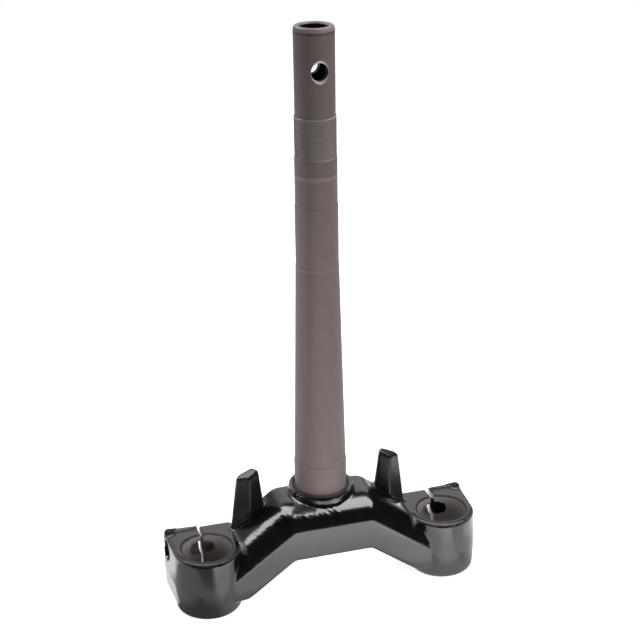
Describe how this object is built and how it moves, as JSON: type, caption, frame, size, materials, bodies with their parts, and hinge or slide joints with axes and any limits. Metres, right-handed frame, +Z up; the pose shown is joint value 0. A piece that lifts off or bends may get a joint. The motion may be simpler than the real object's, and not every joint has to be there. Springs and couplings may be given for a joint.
{
  "type": "motorcycle lower triple clamp",
  "caption": "Black arched lower fork yoke with split clamps, pinch-bolt ears and steering stops, on a tall hollow steel stem with a taper, a threaded band and a plain spigot.",
  "frame": {"origin": "on the steering axis, on top of the collar where the lower bearing race sits", "axes": "+Z up along the steering stem; the fork clamps lie ahead of the stem, towards -Y; +X is the rider's left"},
  "size_m": [0.2034, 0.0569, 0.361],
  "materials": {
    "black_enamel": "gloss black paint over a slightly rippled forged skin",
    "turned_steel": "satin turned steel with a thin grey-brown oil film"
  },
  "bodies": {
    "root": {"lower_bracket": "black_enamel", "steering_stem": "turned_steel"}
  },
  "joints": []
}
